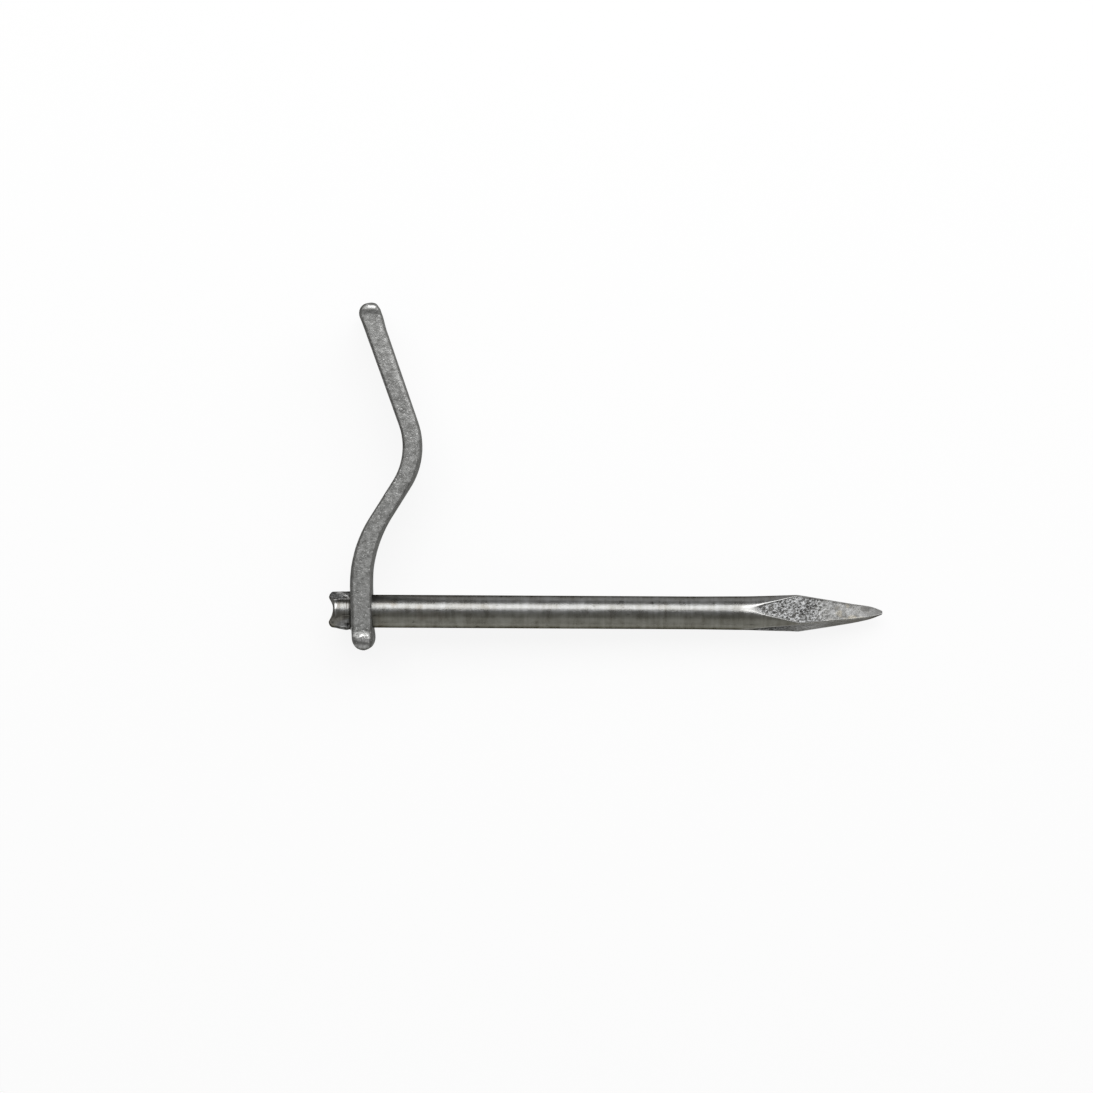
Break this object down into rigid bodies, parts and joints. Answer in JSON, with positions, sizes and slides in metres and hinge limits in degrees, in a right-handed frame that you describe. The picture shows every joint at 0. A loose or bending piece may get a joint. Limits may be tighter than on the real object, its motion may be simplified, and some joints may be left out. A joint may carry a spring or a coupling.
{
  "type": "hitch pin",
  "caption": "Round steel bar with a forged square point and a staked head, driven into a mortar joint; a loose S-bent lever arm slides along it and clamps a board against the wall.",
  "frame": {"origin": "on the surface the part lies on, at the arm's flat lower edge, straight below the middle of the arm's hole", "axes": "+X along the bar towards its point (the bar leans 2.1 degrees down from it), +Y up the arm from its foot to its top, +Z away from the surface, across the arm's width"},
  "size_m": [0.2021, 0.1257, 0.025],
  "materials": {
    "drawn_steel": "bright drawn round bar, scratched along and across, with a hammered point and a staked head",
    "forged_steel": "forged flat bar, shot-blasted to an even matt grain"
  },
  "bodies": {
    "arm": {"arm": "forged_steel"},
    "pin": {"pin": "drawn_steel"}
  },
  "joints": [
    {"name": "bar_slide", "type": "slide", "parent": "arm", "child": "pin", "axis": [-0.9993, 0, 0.0371], "range_m": [0, 0.142]}
  ]
}
